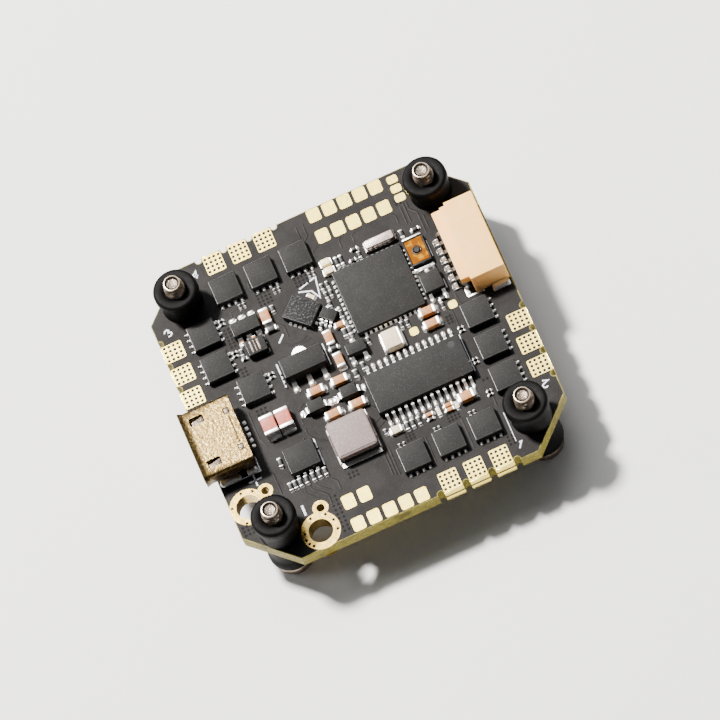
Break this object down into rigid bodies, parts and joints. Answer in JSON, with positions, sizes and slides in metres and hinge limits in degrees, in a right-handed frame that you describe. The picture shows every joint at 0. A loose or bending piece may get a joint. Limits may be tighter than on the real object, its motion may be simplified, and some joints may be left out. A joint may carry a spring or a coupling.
{
  "type": "flight controller board",
  "caption": "Square flight controller board with power transistors, processor, micro USB socket, side-entry signal socket, solder pads, rubber dampers and M2 screws.",
  "frame": {"origin": "centre of the square mounting pattern, on the plane of the screw heads' undersides, which is the lowest plane of the part", "axes": "+Z is the component side, +X runs towards the six-way signal socket, +Y towards the double row of solder pads, and the micro USB socket opens towards -X"},
  "size_m": [0.0336, 0.0326, 0.0113],
  "materials": {
    "solder_mask": "matt charcoal solder mask over glass-fibre laminate with olive cut edges",
    "moulding": "matt dark grey epoxy moulding",
    "sensor_moulding": "matt grey epoxy with a fine grain",
    "rubber": "matt black silicone rubber",
    "screw_steel": "plain steel with a turned thread",
    "gilt_shell": "gold-flashed stamped steel with a fine speckle",
    "contact_metal": "tin-plated, bright",
    "socket_nylon": "natural cream nylon",
    "black_plastic": "matt black moulded plastic",
    "amber_film": "glossy amber polyimide film",
    "pink_ceramic": "pink-brown ceramic body with tinned ends",
    "cream_ceramic": "cream ceramic with tinned ends",
    "crystal_lid": "bright nickel lid on a dark ceramic base",
    "inductor_grey": "pinkish grey pressed powder, satin"
  },
  "bodies": {
    "root": {"boot_button_case": "black_plastic", "boot_button_cover": "amber_film", "buck_converter": "moulding", "bulk_capacitor_1": "pink_ceramic", "bulk_capacitor_2": "pink_ceramic", "buzzer_transistor": "moulding", "chip_inductor": "cream_ceramic", "circuit_board": "solder_mask", "crystal": "crystal_lid", "damper_1": "rubber", "damper_2": "rubber", "damper_3": "rubber", "damper_4": "rubber", "display_overlay_chip": "moulding", "gyro_regulator": "moulding", "gyro_sensor": "sensor_moulding", "input_diode": "moulding", "linear_regulator": "moulding", "main_processor": "moulding", "mosfet_bottom_1": "moulding", "mosfet_bottom_2": "moulding", "mosfet_bottom_3": "moulding", "mosfet_left_1": "moulding", "mosfet_left_2": "moulding", "mosfet_left_3": "moulding", "mosfet_right_1": "moulding", "mosfet_right_2": "moulding", "mosfet_right_3": "moulding", "mosfet_top_1": "moulding", "mosfet_top_2": "moulding", "mosfet_top_3": "moulding", "motor_drive_chip_1": "moulding", "motor_drive_chip_2": "moulding", "motor_drive_chip_3": "moulding", "motor_drive_chip_4": "moulding", "power_inductor": "inductor_grey", "power_switch": "moulding", "receiver_inverter": "moulding", "screw_1": "screw_steel", "screw_2": "screw_steel", "screw_3": "screw_steel", "screw_4": "screw_steel", "sensor_oscillator": "moulding", "socket_anchor_far": "contact_metal", "socket_anchor_near": "contact_metal", "socket_contact_1": "contact_metal", "socket_contact_2": "contact_metal", "socket_contact_3": "contact_metal", "socket_contact_4": "contact_metal", "socket_contact_5": "contact_metal", "socket_contact_6": "contact_metal", "socket_housing": "socket_nylon", "status_led_1": "cream_ceramic", "status_led_2": "cream_ceramic", "usb_diode": "moulding", "usb_shell": "gilt_shell", "usb_tongue": "black_plastic"},
    "boot_plunger": {"boot_button_dome": "contact_metal", "boot_button_plunger": "black_plastic"}
  },
  "joints": [
    {"name": "boot_press", "type": "slide", "parent": "root", "child": "boot_plunger", "axis": [0, 0, -1], "range_m": [0, 0.00015], "stiffness_N_per_m": 1000}
  ]
}
